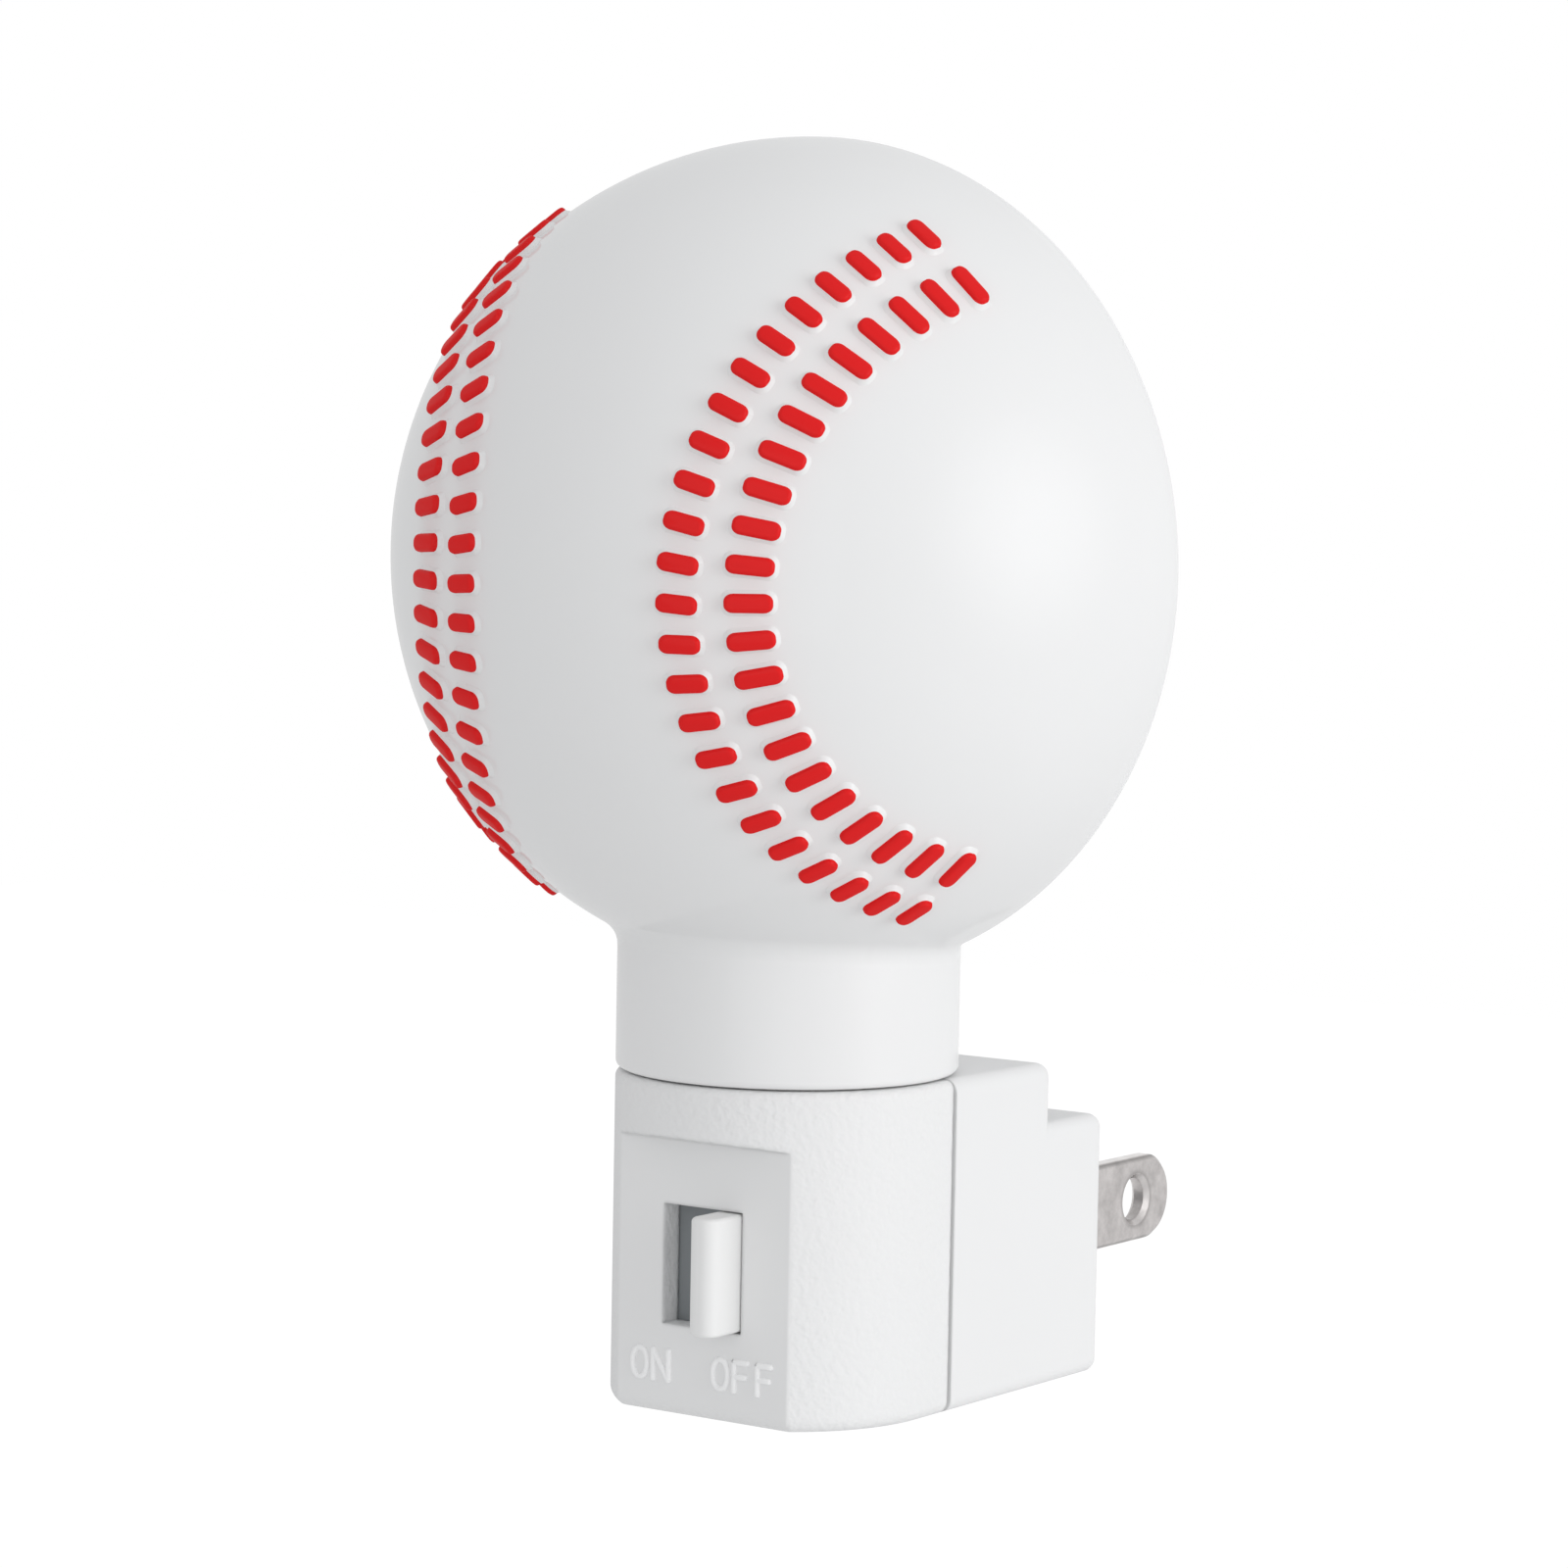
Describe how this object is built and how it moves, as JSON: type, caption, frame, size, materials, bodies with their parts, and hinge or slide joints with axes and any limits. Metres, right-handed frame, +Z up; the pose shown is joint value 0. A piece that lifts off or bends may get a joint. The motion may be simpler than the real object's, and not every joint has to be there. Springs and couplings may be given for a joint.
{
  "type": "plug-in night light",
  "caption": "Plug-in night light: a white ball shade with raised red stitches over a screw-in lamp, on a small housing with a slide switch and flat plug blades.",
  "frame": {"origin": "midway between the plug blades, on the rear face that meets the outlet", "axes": "+Y along the blades into the wall, +Z up, +X to the right of someone who faces the light"},
  "size_m": [0.0577, 0.0678, 0.0874],
  "materials": {
    "shade_white": "glossy translucent white",
    "stitch_red": "glossy red ink on raised pads",
    "housing_white": "satin white",
    "switch_white": "smooth white",
    "holder_white": "matt heat-proof moulding",
    "blade_nickel": "nickel-plated, tumbled",
    "strip_brass": "bare strip",
    "rivet_steel": "plain",
    "cap_brass": "drawn shell",
    "solder": "dull solder",
    "black_glass": "fused black glass",
    "bulb_glass": "clear",
    "lead_wire": "bare wire"
  },
  "bodies": {
    "base": {"front_housing": "housing_white", "rear_housing": "housing_white", "blade_left": "blade_nickel", "blade_right": "blade_nickel", "strap_rivets": "rivet_steel", "line_strap": "strip_brass", "shell_strap": "strip_brass", "lamp_contact": "strip_brass", "lamp_holder": "holder_white", "screw_shell": "strip_brass"},
    "slider": {"switch_slider": "switch_white", "switch_wiper": "strip_brass"},
    "shade": {"shade_globe": "shade_white", "stitches_left": "stitch_red", "stitches_right": "stitch_red"},
    "bulb_foot": {"bulb_tip": "solder"},
    "bulb": {"bulb_cap": "cap_brass", "bulb_insulator": "black_glass", "bulb_envelope": "bulb_glass", "bulb_stem": "bulb_glass", "bulb_leads": "lead_wire", "bulb_filament": "lead_wire"}
  },
  "joints": [
    {"name": "switch_slide", "type": "slide", "parent": "base", "child": "slider", "axis": [-1, 0, 0], "range_m": [0, 0.0042]},
    {"name": "shade_lift", "type": "slide", "parent": "base", "child": "shade", "axis": [0, 0, 1], "range_m": [0, 0.05]},
    {"name": "bulb_rise", "type": "slide", "parent": "base", "child": "bulb_foot", "axis": [0, 0, 1], "range_m": [0, 0.00763]},
    {"name": "bulb_turn", "type": "hinge", "parent": "bulb_foot", "child": "bulb", "pos_m": [0, -0.023, 0], "axis": [0, 0, 1], "range_deg": [0, 1080]}
  ],
  "couplings": [
    {"joint": "bulb_rise", "follows": "bulb_turn", "m_per_rad": 0.00040425}
  ]
}
